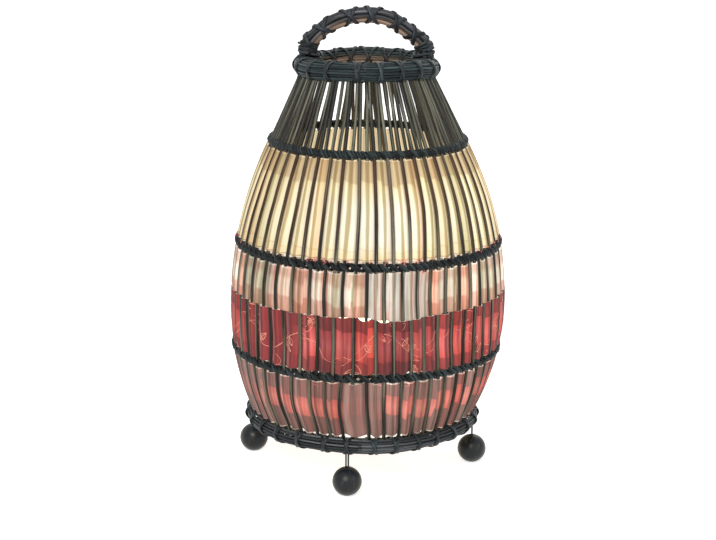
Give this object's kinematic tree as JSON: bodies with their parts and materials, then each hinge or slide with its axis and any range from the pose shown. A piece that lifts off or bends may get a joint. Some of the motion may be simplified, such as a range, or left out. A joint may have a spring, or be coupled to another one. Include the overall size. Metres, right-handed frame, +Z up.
{
  "type": "desk lamp",
  "caption": "Table lamp: a barrel cage of canes woven with coloured cloth strips, lashed cane rims, an arched handle and ball feet.",
  "frame": {"origin": "middle of the lamp on the table, under the bulb", "axes": "+Z up along the lamp's axis, -Y towards the front of the picture, +X to its right, the handle's arch in the X-Z plane"},
  "size_m": [0.2418, 0.2418, 0.4007],
  "materials": {
    "cane_dark": "thin peeled cane, stained nearly black, matt",
    "band_dark": "flat split cane, stained dark, slight sheen",
    "rim_dark": "round cane strands, stained dark blue-green outside",
    "lashing_dark": "flat split cane, stained dark",
    "core_cane": "thick raw cane",
    "cloth_cream": "plain weave, cream, lets light through",
    "cloth_pink": "plain weave, ivory pink, lets light through",
    "cloth_red": "plain weave, red with thin scrolls, lets light through",
    "cloth_mauve": "plain weave, mauve, lets light through",
    "steel": "drawn wire and strip, bare",
    "ball_wood": "turned ball, dark grey satin paint",
    "brass": "plain turned or stamped brass",
    "black_plastic": "moulded, matt",
    "holder_plastic": "moulded, off-white, matt",
    "holder_ceramic": "pressed insulator",
    "bulb_glass": "frosted thin glass, lit",
    "bulb_metal": "rolled thin sheet",
    "black_glass": "black glass insulator",
    "stem_glass": "clear pressed glass",
    "filament": "glowing wire"
  },
  "bodies": {
    "root": {"canes_a": "cane_dark", "canes_b": "cane_dark", "cream_strip": "cloth_cream", "pink_strip": "cloth_pink", "red_strip": "cloth_red", "mauve_strip": "cloth_mauve", "upper_band_skein_1": "band_dark", "upper_band_skein_2": "band_dark", "middle_band_skein_1": "band_dark", "middle_band_skein_2": "band_dark", "lower_band_skein_1": "band_dark", "lower_band_skein_2": "band_dark", "top_rim_strands": "rim_dark", "top_rim_ridges": "rim_dark", "top_rim_core": "core_cane", "top_frame": "steel", "top_lashing_under": "lashing_dark", "top_lashing_over": "lashing_dark", "bottom_rim_strands": "rim_dark", "bottom_rim_ridges": "rim_dark", "bottom_lashing_under": "lashing_dark", "bottom_lashing_over": "lashing_dark", "base_frame": "steel", "handle_strands": "rim_dark", "handle_lashing_under": "lashing_dark", "handle_lashing_over": "lashing_dark", "foot_ball_front": "ball_wood", "foot_ball_right": "ball_wood", "foot_ball_back": "ball_wood", "foot_ball_left": "ball_wood", "nipple": "brass", "nut_below": "brass", "nut_above": "brass", "cord_bush": "black_plastic", "holder_cap": "holder_plastic", "holder_shell": "holder_plastic", "holder_core": "holder_ceramic", "thread_sleeve": "brass", "centre_contact": "brass", "terminal_screws": "brass"},
    "bulb_lift": {"bulb_contact": "bulb_metal"},
    "bulb": {"bulb_glass": "bulb_glass", "bulb_cap": "bulb_metal", "bulb_insulator": "black_glass", "bulb_stem": "stem_glass", "bulb_leads": "bulb_metal", "bulb_filament": "filament"}
  },
  "joints": [
    {"name": "bulb_rise", "type": "slide", "parent": "root", "child": "bulb_lift", "axis": [0, 0, 1], "range_m": [0, 0.0113]},
    {"name": "bulb_turn", "type": "hinge", "parent": "bulb_lift", "child": "bulb", "pos_m": [0, 0, 0.085], "axis": [0, 0, 1], "range_deg": [0, 1440]}
  ],
  "couplings": [
    {"joint": "bulb_rise", "follows": "bulb_turn", "m_per_rad": 0.00044913}
  ]
}
